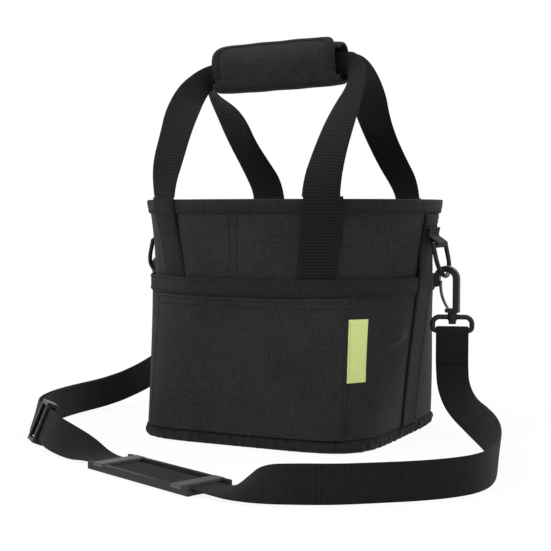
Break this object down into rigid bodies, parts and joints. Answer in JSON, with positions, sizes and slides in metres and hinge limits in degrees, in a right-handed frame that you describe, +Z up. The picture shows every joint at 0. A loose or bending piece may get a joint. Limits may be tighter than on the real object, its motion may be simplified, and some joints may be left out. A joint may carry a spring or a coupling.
{
  "type": "tool storage caddy",
  "caption": "Soft-walled open caddy bag with outer pockets, two webbing carrying handles in a wrapped grip, and a clip-on shoulder strap with a pad.",
  "frame": {"origin": "middle of the base, on the surface that the bag stands on", "axes": "+X to the bag's right, +Y to its back, +Z up; the patch pocket and the label are on the front, -Y"},
  "size_m": [0.5239, 0.4581, 0.3983],
  "materials": {
    "shell_fabric": "woven matte",
    "lining_fabric": "woven matte",
    "binding_tape": "ribbed tape",
    "grip_fabric": "padded woven",
    "label_fabric": "woven satin",
    "handle_webbing": "ribbed webbing",
    "strap_webbing": "ribbed webbing",
    "hook_and_loop": "brushed pile",
    "base_board": "matte",
    "hardware_plastic": "satin",
    "pad_rubber": "satin"
  },
  "bodies": {
    "bag": {"back_handle_tails": "handle_webbing", "back_inner_pocket": "lining_fabric", "back_left_leg": "handle_webbing", "back_lining": "lining_fabric", "back_panel": "shell_fabric", "back_pocket_band": "shell_fabric", "back_pocket_panel": "shell_fabric", "back_right_leg": "handle_webbing", "base_binding": "binding_tape", "base_board": "base_board", "base_lining": "lining_fabric", "base_panel": "shell_fabric", "front_handle_tails": "handle_webbing", "front_inner_pocket": "lining_fabric", "front_left_leg": "handle_webbing", "front_lining": "lining_fabric", "front_panel": "shell_fabric", "front_patch_pocket": "shell_fabric", "front_pocket_band": "shell_fabric", "front_pocket_panel": "shell_fabric", "front_right_leg": "handle_webbing", "label_tab": "label_fabric", "left_ring_loop": "handle_webbing", "left_side_webbing": "handle_webbing", "right_ring_loop": "handle_webbing", "right_side_webbing": "handle_webbing", "rim_binding": "binding_tape", "strap_left_run": "strap_webbing", "strap_return_run": "strap_webbing", "strap_right_run": "strap_webbing"},
    "right_ring": {"right_d_ring": "hardware_plastic"},
    "right_eye": {"right_swivel_eye": "hardware_plastic", "right_strap_end": "strap_webbing"},
    "right_hook": {"right_hook_body": "hardware_plastic"},
    "right_gate": {"right_hook_gate": "hardware_plastic"},
    "left_ring": {"left_d_ring": "hardware_plastic"},
    "left_eye": {"left_swivel_eye": "hardware_plastic", "left_strap_turn": "strap_webbing"},
    "left_hook": {"left_hook_body": "hardware_plastic"},
    "left_gate": {"left_hook_gate": "hardware_plastic"},
    "grip": {"grip_wrap": "grip_fabric", "grip_loop_tape": "hook_and_loop", "front_handle_run": "handle_webbing", "back_handle_run": "handle_webbing"},
    "flap": {"grip_flap": "grip_fabric", "grip_flap_binding": "binding_tape", "grip_hook_tape": "hook_and_loop"},
    "adjuster": {"strap_adjuster": "hardware_plastic", "strap_tail_loop": "strap_webbing"},
    "pad": {"shoulder_pad": "pad_rubber"}
  },
  "joints": [
    {"name": "grip_drop", "type": "slide", "parent": "bag", "child": "grip", "axis": [0, 0, -1], "range_m": [0, 0.06], "deforming": ["front_left_leg", "front_right_leg", "back_left_leg", "back_right_leg"]},
    {"name": "flap_open", "type": "hinge", "parent": "grip", "child": "flap", "pos_m": [0.0025, -0.0494, 0.3574], "axis": [0.9997, 0, 0.0262], "range_deg": [0, 75]},
    {"name": "right_ring_swing", "type": "hinge", "parent": "bag", "child": "right_ring", "pos_m": [0.16, 0, 0.195], "axis": [0, -1, 0], "range_deg": [-6, 7]},
    {"name": "right_eye_sway", "type": "slide", "parent": "bag", "child": "right_eye", "axis": [0.977, 0, 0.213], "range_m": [-0.0034, 0.004]},
    {"name": "right_hook_swivel", "type": "hinge", "parent": "right_eye", "child": "right_hook", "pos_m": [0.174, 0, 0.12], "axis": [0, 0, 1], "range_deg": [-12, 12]},
    {"name": "right_gate_flex", "type": "hinge", "parent": "right_hook", "child": "right_gate", "pos_m": [0.1692, 0, 0.1316], "axis": [0, 1, 0], "range_deg": [0, 13], "stiffness_Nm_per_rad": 0.25},
    {"name": "left_ring_swing", "type": "hinge", "parent": "bag", "child": "left_ring", "pos_m": [-0.16, 0, 0.195], "axis": [0, 1, 0], "range_deg": [-6, 7]},
    {"name": "left_eye_sway", "type": "slide", "parent": "bag", "child": "left_eye", "axis": [-0.977, 0, 0.213], "range_m": [-0.0034, 0.004]},
    {"name": "left_hook_swivel", "type": "hinge", "parent": "left_eye", "child": "left_hook", "pos_m": [-0.174, 0.03787, 0.13304], "axis": [0, -0.6157, 0.788], "range_deg": [-12, 4]},
    {"name": "left_gate_flex", "type": "hinge", "parent": "left_hook", "child": "left_gate", "pos_m": [-0.1692, 0.03073, 0.14218], "axis": [0, -0.788, -0.6157], "range_deg": [0, 13], "stiffness_Nm_per_rad": 0.25},
    {"name": "adjuster_slide", "type": "slide", "parent": "bag", "child": "adjuster", "axis": [-0.7375, 0.6753, 0], "range_m": [-0.005, 0.005]},
    {"name": "pad_slide", "type": "slide", "parent": "bag", "child": "pad", "axis": [0.9262, -0.3771, 0], "range_m": [-0.008, 0.008]}
  ],
  "couplings": [
    {"joint": "right_ring_swing", "follows": "right_eye_sway", "rad_per_m": 30.488},
    {"joint": "left_ring_swing", "follows": "left_eye_sway", "rad_per_m": 30.488}
  ]
}
